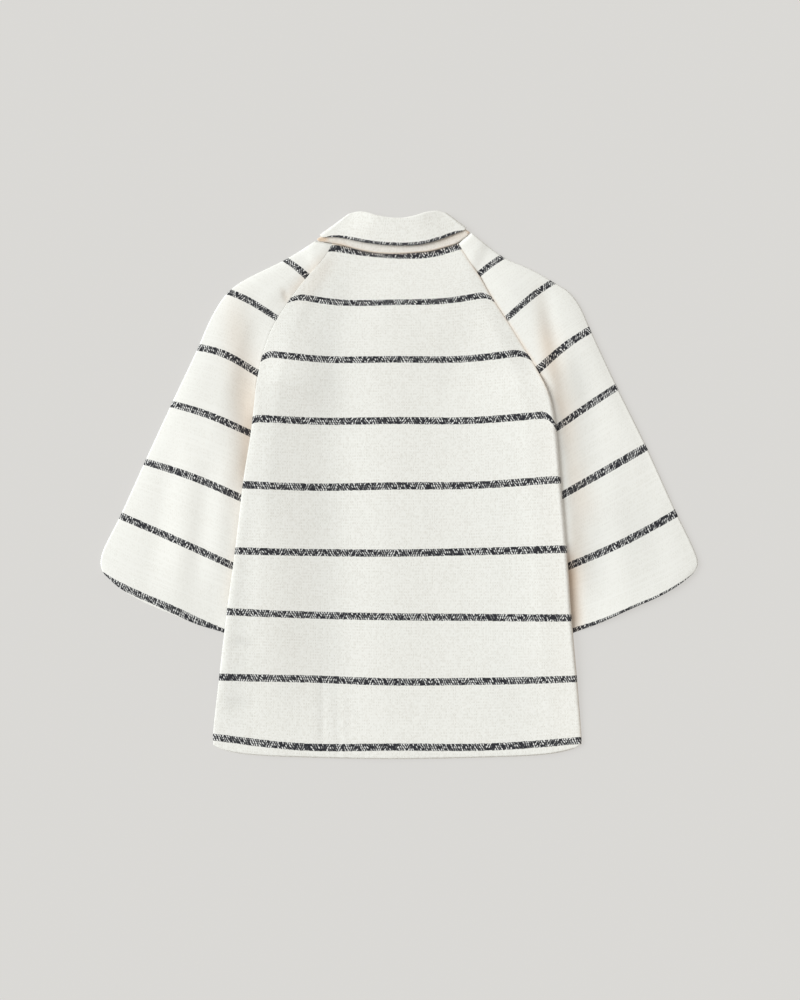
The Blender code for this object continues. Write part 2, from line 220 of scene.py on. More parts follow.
# Shorter folds and dents: a line from one end to the other, its half width and its height
BACK_CREASES = (
    # x, y, x, y, half width, height
    (-69.5, -178.0, -69.5, -236.0, 2.5, -0.45),
    (-55.0, -186.0, -54.5, -247.0, 2.0, -0.35),
    (-51.5, -186.0, -51.0, -247.0, 2.0, 0.45),
    (-150.0, -141.0, -126.0, -143.0, 6.0, -0.45),
    (-152.0, -197.0, -128.0, -200.0, 7.0, -0.40),
    (-58.0, 205.0, -80.0, 150.0, 9.0, -0.50),
    (62.0, 206.0, 96.0, 140.0, 12.0, 0.40),
)
LEFT_SLEEVE_CREASES = (
    # x, y, x, y, half width, height
    (-128.0, 165.0, -141.0, 80.0, 11.0, -1.2),
    (-141.0, 80.0, -136.0, 0.0, 9.0, -1.2),
    (-104.0, 173.0, -100.0, 165.0, 2.5, -0.7),
    (-152.0, 30.0, -165.0, -80.0, 9.0, 0.7),
    (-172.0, 20.0, -184.0, -96.0, 9.0, -0.7),
    (-188.0, 45.0, -202.0, -100.0, 11.0, 0.6),
    (-208.0, 20.0, -226.0, -92.0, 9.0, -0.4),
)
RIGHT_SLEEVE_CREASES = (
    # x, y, x, y, half width, height
    (131.0, 172.0, 147.0, 86.0, 7.0, -1.1),
    (147.0, 86.0, 154.0, 14.0, 8.0, -1.2),
    (154.0, 14.0, 168.0, -70.0, 9.0, -0.9),
    (157.0, -62.0, 160.0, -132.0, 7.0, -1.4),
    (190.0, 30.0, 206.0, -88.0, 12.0, 0.6),
    (222.0, 20.0, 236.0, -80.0, 11.0, -0.4),
)

# The rounding of an edge: how far in from the edge it starts, and how far it falls
RAGLAN_ROLL = (5.0, 0.35)
LEFT_SIDE_ROLL = (7.0, 1.8)
RIGHT_SIDE_ROLL = (3.5, 3.0)
ROLL_BELOW_CUFF = 0.60
ROLL_AT_HEM = 0.50
SLEEVE_ROLL = (5.0, 0.35)
FRONT_ROLL = 0.10
FRONT_INSET = 3.0
EDGE_DROP = 0.8
HEM_RADIUS = 0.9
HEM_TURN = 9.0
BACK_HEM_INSET = 1.0
RIGHT_SIDE_INSET = 1.2
INSET_START_Y = -60.0
INSET_END_Y = -120.0
NECK_ROLL = (4.0, 0.8)
RAGLAN_START_Y = 60.0
RAGLAN_END_Y = 95.0

# Stripes, woven in every this many millimetres
STRIPE_PITCH = 58.5
STRIPE_WIDTH = 6.4
BODY_STRIPES = (
    # stripe, y at the left edge, a quarter, the middle, three quarters and the right edge,
    # and how far its left and right ends droop over the rolled edges
    (1, 213.4, 209.1, 206.0, 206.9, 214.8, 1.0, 0.0),
    (2, 170.7, 164.2, 164.5, 166.0, 172.3, 4.5, 5.0),
    (3, 118.8, 113.1, 113.1, 113.4, 119.9, 5.0, 5.0),
    (4, 60.1, 57.5, 58.1, 58.2, 63.7, 2.0, 12.0),
    (5, 0.2, -2.0, -0.8, -0.1, 5.2, 0.0, 0.5),
    (6, -59.3, -60.8, -61.3, -59.8, -57.5, 0.0, 0.5),
    (7, -113.7, -116.9, -118.5, -119.2, -119.7, 0.0, 0.0),
    (8, -172.9, -174.3, -177.1, -176.5, -174.3, 0.0, 0.0),
    (9, -226.8, -235.7, -235.7, -235.7, -229.8, 0.0, 0.0),
)
DROOP_WIDTH = 12.0
# How far a sleeve's stripe bows up from the straight line, by the station
LEFT_BOWS = (
    # station, bow
    (0.35, 0.0),
    (2.00, 2.0),
    (3.00, 3.8),
    (4.00, 2.6),
    (5.00, 2.8),
    (6.00, 0.8),
    (7.05, 1.5),
)
RIGHT_BOWS = (
    # station, bow
    (0.35, 0.0),
    (2.00, 1.8),
    (3.00, 2.0),
    (4.00, 0.6),
    (5.00, 0.0),
    (6.00, -2.8),
    (7.05, -1.5),
)

# The cuffs: how far the edge bows down from the straight line, and how far the last stripe slips
# down over it, both by the part of the way out
CUFF_START = 6.0
LEFT_CUFF = (
    # part of the way out, bow, slip
    (0.00, 0.0, 5.0),
    (0.25, 3.6, 4.1),
    (0.38, 6.6, 2.3),
    (0.50, 7.8, 0.5),
    (0.63, 8.8, -0.6),
    (0.76, 9.1, -1.0),
    (0.89, 6.6, 0.5),
    (1.00, 0.0, 5.0),
)
RIGHT_CUFF = (
    # part of the way out, bow, slip
    (0.00, 0.0, 1.0),
    (0.21, 1.8, 1.3),
    (0.38, 4.4, 1.6),
    (0.58, 5.0, 1.9),
    (0.77, 6.0, 2.3),
    (0.90, 4.2, 3.2),
    (1.00, 0.0, 5.6),
)

# Warm half shadow painted along the seams: its half width, and its depth at each of them
SEAM_PAINTED_SHADE_WIDTH = 1.3
NECK_SEAM_PAINTED_SHADE = 0.60
RAGLAN_SEAM_PAINTED_SHADE = 0.45
RIGHT_SIDE_PAINTED_SHADE = 0.35
STAND_PAINTED_SHADE = 0.20
STAND_SEAM_PAINTED_SHADE = 0.65
STAND_PAINTED_SHADE_WIDTH = 1.2

# Warm half shadow painted where the cloth sinks or lies under another layer: a line, its half width
# and its depth. A depth below nought keeps the painted shadow off the strip of sleeve beside the body
BACK_PAINTED_SHADES = (
    # x, y, x, y, half width, depth
    (-60.0, 206.0, -88.0, 166.0, 8.0, 0.16),
)
STAND_PAINTED_SHADES = (
    # x, y, x, y, half width, depth
    (-75.0, 221.0, -64.0, 221.0, 3.0, 0.85),
    (-64.0, 220.0, -46.0, 215.0, 3.0, 0.25),
    (30.0, 219.0, 66.0, 228.0, 5.0, 0.22),
    (61.0, 228.0, 66.0, 230.0, 3.0, 0.80),
)
LEFT_SLEEVE_PAINTED_SHADES = (
    # x, y, x, y, half width, depth
    (-66.0, 206.0, -101.0, 168.0, 5.0, 0.30),
    (-106.0, 177.0, -99.5, 163.0, 2.2, 0.22),
    (-148.0, 165.0, -139.0, 50.0, 12.0, 0.26),
    (-131.0, 105.0, -142.0, -25.0, 13.0, 0.34),
    (-141.0, -25.0, -154.0, -110.0, 7.0, 0.25),
    (-134.0, 62.0, -140.5, 5.0, 6.0, 0.25),
)
RIGHT_SLEEVE_PAINTED_SHADES = (
    # x, y, x, y, half width, depth
    (55.0, 212.0, 134.0, 90.0, 2.0, 0.50),
    (127.0, 166.0, 145.0, 49.5, 7.0, 0.28),
    (133.0, 139.0, 147.0, 85.0, 11.0, 0.25),
    (147.0, 85.0, 152.0, 31.0, 12.0, 0.34),
    (152.0, 31.0, 166.0, -31.0, 13.0, 0.30),
    (158.0, -31.0, 160.0, -94.0, 12.0, 0.28),
    (152.0, -66.0, 159.0, -133.0, 8.0, 0.75),
    (134.0, 98.0, 144.5, 42.0, 5.0, -0.40),
    (144.5, 42.0, 149.0, -20.0, 5.0, -0.30),
    (149.0, -20.0, 152.0, -58.0, 5.0, -0.25),
)
# Painted light and shade in broad patches that the light reaches more or less, lighter above nought
BACK_PAINTED_LIGHT = (
    # x, y, x, y, half width, strength
    (88.0, 70.0, 92.0, -225.0, 30.0, -0.75),
    (128.0, 130.0, 155.0, -290.0, 15.0, 1.60),
    (-84.0, 188.0, -112.0, 120.0, 9.0, -0.90),
    (-62.0, 205.0, -64.0, 60.0, 21.0, -1.45),
    (-64.0, 60.0, -62.0, -235.0, 19.0, -0.95),
    (-114.0, 100.0, -122.0, -30.0, 15.0, -0.95),
    (-140.0, -10.0, -150.0, -235.0, 15.0, -1.40),
    (-69.5, -178.0, -69.5, -236.0, 1.8, -0.40),
    (-55.0, -186.0, -54.5, -247.0, 1.6, -0.60),
    (-149.0, -140.0, -130.0, -143.0, 4.0, -0.70),
    (-156.0, -193.0, -135.0, -198.0, 5.0, -0.45),
    (-128.5, 98.0, -139.0, 0.0, 3.0, -1.30),
)
LEFT_SLEEVE_PAINTED_LIGHT = (
    # x, y, x, y, half width, strength
    (-172.0, 60.0, -205.0, -90.0, 32.0, 0.80),
    (-163.0, 172.0, -190.0, 105.0, 8.0, -0.90),
    (-106.0, 177.0, -99.5, 163.0, 2.4, -1.00),
    (-134.0, 62.0, -140.5, 5.0, 6.0, -2.00),
)
RIGHT_SLEEVE_PAINTED_LIGHT = (
    # x, y, x, y, half width, strength
    (182.0, 30.0, 190.0, -60.0, 24.0, -0.50),
    (151.0, 112.0, 158.0, 5.0, 17.0, -2.70),
    (158.0, 5.0, 174.0, -90.0, 14.0, -1.70),
    (160.0, -60.0, 164.0, -128.0, 12.0, -0.90),
    (106.0, 190.0, 140.0, 128.0, 20.0, -0.80),
    (215.0, -15.0, 225.0, -105.0, 40.0, -0.50),
    (172.5, 140.0, 264.5, -55.0, 3.5, 1.20),
    (134.0, 98.0, 144.5, 42.0, 5.0, 1.80),
    (144.5, 42.0, 149.0, -20.0, 5.0, 1.80),
    (149.0, -20.0, 152.0, -58.0, 5.0, 1.80),
)
LEAF_PAINTED_LIGHT = (
    # x, y, x, y, half width, strength
    (-48.0, 236.0, -20.0, 232.0, 22.0, 0.35),
    (30.0, 234.0, 60.0, 232.0, 22.0, -0.15),
)

# Fineness of the sheets
BODY_COLUMNS = 170
BODY_ROWS = 210
FRONT_COLUMNS = 90
FRONT_ROWS = 120
EDGE_CROWDING = 0.70
SLEEVE_CROWDING = 0.50
HEM_STEPS = 6
HEM_ANGLES = np.linspace(0.0, np.pi, HEM_STEPS + 1)[1:]
SLEEVE_ROWS = 130
SLEEVE_TOP_COLUMNS = 70
SLEEVE_UNDER_COLUMNS = 30
SLEEVE_FOLD_STEPS = 10
UNDERARM_STEPS = 5
COLLAR_BACK_COLUMNS = 120
COLLAR_SIDE_STEPS = 12
COLLAR_FRONT_STEPS = 30
LEAF_ROWS = 28
ROLL_STEPS = 8
STAND_ROWS = 20


def blend(a, b, part):
    return a + (b - a) * part


def smooth_step(start, end, value):
    part = np.clip((value - start) / (end - start), 0.0, 1.0)
    return part * part * (3.0 - 2.0 * part)


def through(table, column, at):
    """The smooth curve through one column of a table, read at values of its first column."""
    rows = np.array(sorted(table))
    places, values = rows[:, 0], rows[:, column]
    last = len(rows) - 1
    low = np.maximum(np.arange(len(rows)) - 1, 0)
    high = np.minimum(np.arange(len(rows)) + 1, last)
    slopes = (values[high] - values[low]) / (places[high] - places[low])
    at = np.clip(at, places[0], places[-1])
    index = np.clip(np.searchsorted(places, at, side="right") - 1, 0, last - 1)
    span = places[index + 1] - places[index]
    t = (at - places[index]) / span
    ends = values[index] * (1 + 2 * t) * (1 - t) ** 2 + values[index + 1] * t * t * (3 - 2 * t)
    return ends + slopes[index] * span * t * (1 - t) ** 2 - slopes[index + 1] * span * t * t * (1 - t)


def over_collar(x, y, start=COLLAR_CLIMB_START, end=COLLAR_CLIMB_END):
    """How far a layer is lifted by the front of the collar, which lies under it at the neck."""
    point_x, point_y = COLLAR_POINT
    slope = (NECK_SIDES[0][1] - point_y) / (CENTRE_X - NECK_SIDES[0][0] + 2.0 - point_x)
    edge = point_y + slope * np.maximum(np.abs(x - CENTRE_X) - point_x, 0.0)
    return (SOLID_WALL + LAYER_GAP) * smooth_step(edge - start, edge - end, y)


def over_sleeve(x, y, across=(CLIMB_START_X, CLIMB_END_X), settle=(SETTLE_START_Y, SETTLE_END_Y)):
    """How far the body is lifted by the inner edge of the sleeve under its side."""
    sideways = smooth_step(*across, np.abs(x))
    below_armpit = smooth_step(CLIMB_START_Y, CLIMB_END_Y, y)
    return CLIMB_HEIGHT * sideways * below_armpit * (1.0 - smooth_step(*settle, y))


def front_height(x, y):
    return over_collar(x, y) + over_sleeve(x, y)


def back_height(x, y):
    """The back bridges softly over what lies under it."""
    return over_collar(x, y, *SOFT_COLLAR_CLIMB) + over_sleeve(x, y, SOFT_CLIMB_X, SOFT_SETTLE_Y)


def long_folds(x, down):
    total = 0.0
    for top, bottom, half_width, height in BODY_FOLDS:
        total = total + height * np.exp(-(((x - blend(top, bottom, down)) / half_width) ** 2))
    return total


def creases(table, x, y):
    """The sum of the short folds, each of which fades out towards both its ends."""
    total = 0.0 * x
    for x0, y0, x1, y1, half_width, height in table:
        run_x, run_y = x1 - x0, y1 - y0
        length = math.hypot(run_x, run_y)
        along = ((x - x0) * run_x + (y - y0) * run_y) / length**2
        beside = ((x - x0) * run_y - (y - y0) * run_x) / length
        fade = smooth_step(-0.25, 0.3, along) * smooth_step(1.25, 0.7, along)
        total = total + height * fade * np.exp(-((beside / half_width) ** 2))
    return total


def rolled(distance, roll):
    """How far a rounded edge has fallen, this far in from it."""
    width, fall = roll
    inward = np.clip(1.0 - distance / width, 0.0, 1.0)
    return fall * (1.0 - np.sqrt(1.0 - inward * inward))


def crowded(count, crowding=EDGE_CROWDING):
    """Places from 0 to 1 that stand closer together towards both ends."""
    even = np.linspace(0.0, 1.0, count)
    return even - crowding * np.sin(2 * np.pi * even) / (2 * np.pi)


def edge_cosine(column, y):
    """The cosine of the lean of the body's edge, for distances square to it."""
    step = 1.0
    lean = (through(BODY_EDGE, column, y + step) - through(BODY_EDGE, column, y - step)) / (2 * step)
    return 1.0 / np.sqrt(1.0 + lean * lean)


def body_plan(top, across, down):
    """X and Y of a grid of points of the body, whose middle runs straight down."""
    y = blend(top[None, :], through(HEM, 1, across)[None, :], down[:, None])
    left = through(BODY_EDGE, 1, y)
    right = through(BODY_EDGE, 2, y)
    across = across[None, :]
    straighten = (CENTRE_X - 0.5 * (left + right)) * (1.0 - (2.0 * across - 1.0) ** 2)
    return blend(left, right, across) + straighten, y


def back_neck(across):
    corner = blend(*NECK_CORNERS, across)
    x = blend(through(BODY_EDGE, 1, corner), through(BODY_EDGE, 2, corner), across)
    return through(BACK_NECK, 1, x) - SEAM_OPENING


def front_neck(across):
    dip = np.sin(np.pi * across) ** FRONT_NECK_ROUNDNESS
    return blend(*NECK_CORNERS, across) - 4 * SEAM_OPENING - FRONT_NECK_DROP * dip


def stripe_lines(across):
    """Y of every stripe at each place across the body, drooping at its ends."""
    places = np.array((0.0, 0.25, 0.5, 0.75, 1.0))
    lines = []
    for row in BODY_STRIPES:
        heights = row[1:6]
        y = through(tuple(zip(places, heights)), 1, across)
        for column, edge, droop in ((1, across, row[6]), (2, 1.0 - across, row[7])):
            width = through(BODY_EDGE, 2, y) - through(BODY_EDGE, 1, y)
            distance = edge * width * edge_cosine(column, y)
            y = y - droop * np.clip(1.0 - distance / DROOP_WIDTH, 0.0, 1.0) ** 3
        lines.append(y)
    return np.array(lines)


def body_stripes(across, y):
    """The stripe coordinate of a grid of points: a whole number in the middle of each stripe."""
    lines = stripe_lines(across)
    numbers = np.array([float(row[0]) for row in BODY_STRIPES])
    found = np.empty_like(y)
    for column in range(y.shape[1]):
        line = lines[:, column]
        inside = np.interp(-y[:, column], -line, numbers)
        above = numbers[0] + (line[0] - y[:, column]) / STRIPE_PITCH
        below = numbers[-1] + (line[-1] - y[:, column]) / STRIPE_PITCH
        lower = np.where(y[:, column] < line[-1], below, inside)
        found[:, column] = np.where(y[:, column] > line[0], above, lower)
    return found


def hem_rows(x, y, z, side):
    """The turned-up hem below the last row: round a small fold, then back along the inside."""
    rows = []
    for angle in HEM_ANGLES:
        fall = HEM_RADIUS * (1 - math.cos(angle))
        rows.append((x, y - HEM_RADIUS * math.sin(angle), z - side * fall))
    rows.append((x, y + HEM_TURN, z - side * 2 * HEM_RADIUS))
    return rows


def with_hem(stripe, weft):
    """The weave coordinates carried on round the hem's fold and along its turning."""
    lengths = list(HEM_RADIUS * HEM_ANGLES)
    lengths.append(lengths[-1] + HEM_TURN)
    stripe = np.vstack([stripe] + [stripe[-1] + length / STRIPE_PITCH for length in lengths])
    return stripe, np.vstack([weft] + [weft[-1]] * len(lengths))


def body_sheet(top, columns, rows, is_back):
    """The back or the front of the body: points, weft place, stripe coordinate, painted shade and
    painted light.
    """
    across = crowded(columns)
    if not is_back:
        half_slit = 0.5 * SLIT_WIDTH / SLIT_LEVEL_WIDTH
        across[columns // 2 - 1 : columns // 2 + 1] = (0.5 - half_slit, 0.5 + half_slit)
    down = np.linspace(0.0, 1.0, rows)
    x, y = body_plan(top(across), across, down)
    inset = BACK_HEM_INSET + HEM_RADIUS if is_back else HEM_RADIUS
    y = y + inset * smooth_step(0.6, 1.0, down)[:, None]
    left = through(BODY_EDGE, 1, y)
    right = through(BODY_EDGE, 2, y)
    if is_back:
        right_inset = RIGHT_SIDE_INSET * smooth_step(INSET_START_Y, INSET_END_Y, y)
        x = x - right_inset * smooth_step(0.85, 1.0, across)[None, :]
        right = right - right_inset
    from_left = (x - left) * edge_cosine(1, y)
    from_right = (right - x) * edge_cosine(2, y)
    raglan = smooth_step(RAGLAN_START_Y, RAGLAN_END_Y, y)
    fall = raglan * (rolled(from_left, RAGLAN_ROLL) + rolled(from_right, RAGLAN_ROLL))
    room = blend(ROLL_BELOW_CUFF, 1.0, over_sleeve(x, y) / CLIMB_HEIGHT)
    room = room * blend(1.0, ROLL_AT_HEM, smooth_step(0.85, 1.0, down))[:, None]
    sides = rolled(from_left, LEFT_SIDE_ROLL) + rolled(from_right, RIGHT_SIDE_ROLL)
    fall = fall + (1.0 - raglan) * room * sides
    from_neck = np.abs(y - top(across)[None, :])
    # Warm painted shade in the sinks of the cloth, along the neck and raglan seams and down the lower
    # right side
    painted_shade = creases(BACK_PAINTED_SHADES, x, y)
    painted_shade = painted_shade + NECK_SEAM_PAINTED_SHADE * np.exp(-((from_neck / SEAM_PAINTED_SHADE_WIDTH) ** 2))
    depth = RAGLAN_SEAM_PAINTED_SHADE * raglan + RIGHT_SIDE_PAINTED_SHADE * (y < INSET_START_Y)
    painted_shade = painted_shade + depth * np.exp(-((from_right / SEAM_PAINTED_SHADE_WIDTH) ** 2))
    if is_back:
        rise = smooth_step(0.0, 0.10, across) * smooth_step(1.0, 0.90, across)
        strength = smooth_step(0.0, 0.15, down)[:, None] * rise[None, :]
        fading = 1.0 - 0.4 * smooth_step(0.8, 1.0, down)[:, None]
        folds = FOLD_GAIN * fading * long_folds(x, down[:, None])
        loft = EDGE_LOFT + strength * (BODY_LOFT + folds)
        z = back_height(x, y) + 2 * SOLID_WALL + LAYER_GAP + loft + creases(BACK_CREASES, x, y)
        z = z - fall - rolled(from_neck, NECK_ROLL)
        side = 1.0
    else:
        z = front_height(x, y) + FRONT_ROLL * fall
        x = x + FRONT_INSET * (smooth_step(0.06, 0.0, across) - smooth_step(0.94, 1.0, across))[None, :]
        side = -1.0
    stripe = body_stripes(across, y)
    weft = x.copy()

    turned = hem_rows(x[-1], y[-1], z[-1], side)
    x = np.vstack([x] + [row[0] for row in turned])
    y = np.vstack([y] + [row[1] for row in turned])
    z = np.vstack([z] + [row[2] for row in turned])
    stripe, weft = with_hem(stripe, weft)
    painted_shade = np.vstack([painted_shade] + [painted_shade[-1]] * len(turned))

    def skirt(grid, change=0.0):
        return np.hstack([grid[:, :1] + change, grid, grid[:, -1:] + change])

    # The side edges are closed by a narrow strip, which turns over with the hem
    turn = np.concatenate([np.zeros(rows), HEM_ANGLES, [np.pi]])[:, None]
    inward_y = EDGE_DROP * np.sin(turn)
    inward_z = -side * EDGE_DROP * np.cos(turn)
    points = np.stack([skirt(x), skirt(y, inward_y), skirt(z, inward_z)], axis=-1)
    # Painted light and shade in broad patches and small dents across the back
    painted_light_patches = creases(BACK_PAINTED_LIGHT, points[..., 0], points[..., 1])
    return points, skirt(weft), skirt(stripe), skirt(painted_shade), painted_light_patches


def sleeve_sheet(table, edge_column, inner_edge, bows, cuff, dented, painted_shades, painted_light_patches):
    """Rings of a sleeve from the neck to the cuff, then the turned-in hem."""
    side = math.copysign(1.0, inner_edge)
    first, last = table[0][0], table[-1][0]
    hem_stations = HEM_RADIUS / STRIPE_PITCH
    station = np.linspace(first, last - hem_stations, SLEEVE_ROWS)[:, None]
    outer = np.stack([through(table, 1, station), through(table, 2, station)], axis=-1)
    inner_y = through(table, 3, station)
    edge = through(BODY_EDGE, edge_column, inner_y)
    tuck = smooth_step(TUCK_START_Y, TUCK_END_Y, inner_y)
    inner_x = blend(edge + side * SEAM_OPENING, inner_edge, tuck)
    inner = np.stack([inner_x, inner_y], axis=-1)
    closing = smooth_step(ARMPIT_STATION - CLOSING_STATIONS, ARMPIT_STATION, station)
    hidden = np.maximum(np.abs(edge) - np.abs(inner_x), 0.0) + TROUGH_WIDTH * closing
    width = np.linalg.norm(outer - inner, axis=-1)
    flat_end = width - SLEEVE_FOLD
    open_level = 2 * SOLID_WALL + LAYER_GAP + EDGE_LOFT
    inner_level = blend(open_level, 2 * UNDERARM_FOLD, closing)
    down = (station - first) / (last - first)
    loft = SLEEVE_LOFT * blend(0.2, 1.0, smooth_step(0.0, 0.35, down))

    quarter = 0.5 * np.pi * np.arange(UNDERARM_STEPS)[None, :] / UNDERARM_STEPS
    tuck_distance = UNDERARM_FOLD * (1 - np.cos(quarter)) + 0.0 * station
    under_height = UNDERARM_FOLD * (1 - np.sin(quarter)) * closing
    over_height = blend(inner_level, UNDERARM_FOLD * (1 + np.sin(quarter)), closing)

    under = np.linspace(0.0, 1.0, SLEEVE_UNDER_COLUMNS)[None, :]
    under_distance = blend(UNDERARM_FOLD, flat_end, under)
    around = np.pi * np.arange(1, SLEEVE_FOLD_STEPS)[None, :] / SLEEVE_FOLD_STEPS
    fold_distance = flat_end + SLEEVE_FOLD * np.sin(around)
    fold_height = SLEEVE_FOLD * (1 - np.cos(around)) + 0.0 * station
    over = crowded(SLEEVE_TOP_COLUMNS, SLEEVE_CROWDING)[::-1][None, :]
    over_distance = blend(UNDERARM_FOLD, flat_end, over)
    out = np.clip((over_distance - hidden) / (flat_end - hidden), 0.0, 1.0)
    swell = loft * smooth_step(0.0, 0.45, out) * (1.0 - np.maximum(2.0 * out - 1.0, 0.0) ** 4)
    top_height = blend(inner_level, 2 * SLEEVE_FOLD, out) + swell

    distance = np.hstack(
        [tuck_distance, under_distance, fold_distance, over_distance, tuck_distance[:, ::-1]]
    )
    height = np.hstack(
        [under_height, 0.0 * under_distance, fold_height, top_height, over_height[:, ::-1]]
    )
    is_top = np.zeros(distance.shape[1], bool)
    is_top[UNDERARM_STEPS + SLEEVE_UNDER_COLUMNS + SLEEVE_FOLD_STEPS - 1 :] = True
    share = distance / width
    x = blend(inner[..., 0], outer[..., 0], share)
    y = blend(inner[..., 1], outer[..., 1], share)
    near_cuff = np.clip((station - CUFF_START) / (last - CUFF_START), 0.0, 1.0)
    y = y - through(cuff, 1, share) * near_cuff**1.5

    inside = smooth_step(0.0, 10.0, width - distance) * smooth_step(-2.0, 4.0, distance)
    dents = np.where(is_top[None, :], creases(dented, x, y) * inside, 0.0)
    seam_roll = rolled(distance, SLEEVE_ROLL) * (1.0 - closing) * is_top[None, :]
    neck_roll = rolled(STRIPE_PITCH * (station - first), NECK_ROLL) * is_top[None, :]
    z = height + over_collar(x, y) + np.maximum(dents, DEEPEST_DENT) - seam_roll - neck_roll

    bow = through(bows, 1, station) * np.sin(np.pi * np.clip(share, 0.0, 1.0) ** 1.2)
    stripe = station + (bow - through(cuff, 2, share) * near_cuff**3) / STRIPE_PITCH
    run = np.sqrt(np.diff(distance, axis=1) ** 2 + np.diff(height, axis=1) ** 2)
    weft = np.hstack([np.zeros((SLEEVE_ROWS, 1)), np.cumsum(run, axis=1)])
    weft = weft - weft[:, -1:]

    points = np.stack([x, y, z], axis=-1)
    along = points[-1] - points[-2]
    along[:, 2] = 0.0
    along /= np.linalg.norm(along, axis=1, keepdims=True)
    section = np.stack([distance[-1], height[-1]], axis=-1)
    tangent = np.gradient(section, axis=0)
    tangent /= np.maximum(np.linalg.norm(tangent, axis=1, keepdims=True), 1e-9)
    towards_outer = (outer[-1, 0] - inner[-1, 0]) / width[-1, 0]
    sideways = -tangent[:, 1:] * towards_outer[None, :]
    inward = np.hstack([sideways, tangent[:, :1]])
    turned = []
    for angle in HEM_ANGLES:
        turn = math.sin(angle) * along + (1 - math.cos(angle)) * inward
        turned.append(points[-1] + HEM_RADIUS * turn)
    turned.append(turned[-1] - HEM_TURN * along)
    points = np.concatenate([points, np.array(turned)])
    stripe, weft = with_hem(stripe, weft)
    x, y = points[..., 0], points[..., 1]
    # Warm painted shade in the troughs and beside the body, and painted light and shade, on the upper
    # layer only
    shown = is_top[None, :].astype(float)
    return points, weft, stripe, creases(painted_shades, x, y) * shown, creases(painted_light_patches, x, y) * shown


def front_neck_point(across):
    """Points just inside the front neck, for the collar seam."""
    x, y = body_plan(front_neck(across), across, np.zeros(1))
    x, y = x[0], y[0]
    inward = np.stack([CENTRE_X - x, NECK_CORNERS[0] - y], axis=-1)
    inward /= np.linalg.norm(inward, axis=1, keepdims=True)
    return x + 2 * SEAM_OPENING * inward[:, 0], y + 2 * SEAM_OPENING * inward[:, 1]


def collar_front(side, lower):
    """Lower and upper points of one front half of the collar, from its side to the centre."""
    direction = (-1, 1)[side]
    steps = COLLAR_FRONT_STEPS + 1
    part = np.arange(1, steps + 1) / steps
    centre = CENTRE_X + direction * COLLAR_PARTING
    upper_y = blend(FOLD_SIDES[side][1], FRONT_FOLD_Y, smooth_step(0.0, 1.0, part))
    upper = np.stack([blend(FOLD_SIDES[side][0], centre, part), upper_y], axis=-1)
    if lower == "leaf":
        point = np.array((CENTRE_X + direction * COLLAR_POINT[0], COLLAR_POINT[1]))
        return blend(np.array(LEAF_SIDES[side]), point, part[:, None]), upper
    across = 0.5 * (np.arange(steps)) / COLLAR_FRONT_STEPS
    x, y = front_neck_point(across if side == 0 else 1.0 - across)
    x[-1] += direction * COLLAR_PARTING
    return np.stack([x, y], axis=-1), upper


def collar_row(height, offset, lower):
    """One line round the collar: under the garment, up one side, over the back and under again."""
    middle = LEAF_OFFSET
    low_sides = LEAF_SIDES if lower == "leaf" else NECK_SIDES
    centres = []
    for low_side, fold_side in zip(low_sides, FOLD_SIDES):
        centres.append(blend(np.array(low_side), np.array(fold_side), height))

    def front(side):
        low, high = collar_front(side, lower)
        flat = blend(low, high, height)
        return np.column_stack([flat, np.full(len(flat), middle - offset)])

    def side_fold(side):
        along = np.abs(np.array(FOLD_SIDES[side]) - np.array(NECK_SIDES[side]))
        length = math.hypot(*along)
        outward = np.array((-along[1] / length * (1, -1)[side], along[0] / length))
        angle = np.pi * np.arange(COLLAR_SIDE_STEPS + 1) / COLLAR_SIDE_STEPS
        reach = offset * np.sin(angle)
        rounded = blend(SIDE_FOLD_RISE, offset * outward[1], np.sin(angle) ** 2)
        raised = blend(reach * outward[1], rounded, height)
        x = centres[side][0] + reach * outward[0]
        y = centres[side][1] + np.where(np.cos(angle) > 0.0, raised, reach * outward[1])
        return np.column_stack([x, y, middle + offset * np.cos(angle)])

    part = np.arange(1, COLLAR_BACK_COLUMNS) / COLLAR_BACK_COLUMNS
    plateau = smooth_step(0.0, 0.3, part) * smooth_step(1.0, 0.7, part)
    x = blend(centres[0][0], centres[1][0], part)
    if lower == "leaf":
        low = through(COLLAR_BACK, 2, part)
        lift = COLLAR_LOFT * plateau * blend(0.4, 1.0, height)
    else:
        low = through(BACK_NECK, 1, blend(NECK_SIDES[0][0], NECK_SIDES[1][0], part))
        lift = COLLAR_LOFT * plateau * height * height
    high = through(COLLAR_BACK, 1, part)
    back = np.column_stack([x, blend(low, high, height), middle + offset + lift])
    return np.concatenate([front(0)[::-1], side_fold(0)[::-1], back, side_fold(1), front(1)])


def collar_sheet(rows):
    points = np.array(rows)
    run = np.linalg.norm(np.diff(points[:, :, :2], axis=1), axis=-1)
    weft = np.hstack([np.zeros((len(rows), 1)), np.cumsum(run, axis=1)])
    middle = points.shape[1] // 2
    weft = weft - weft[:, middle : middle + 1]
    rise = np.linalg.norm(np.diff(points, axis=0), axis=-1)
    from_top = np.vstack([np.zeros((1, points.shape[1])), np.cumsum(rise, axis=0)])
    ends = np.clip(np.abs(points[..., 0] - CENTRE_X) / LEAF_SLIP_REACH, 0.0, 1.0)
    slip = LEAF_SLIP[0] + LEAF_SLIP[1] * ends**LEAF_SLIP_POWER
    stripe = (from_top[-1:] - from_top + slip) / STRIPE_PITCH
    return points, weft, stripe


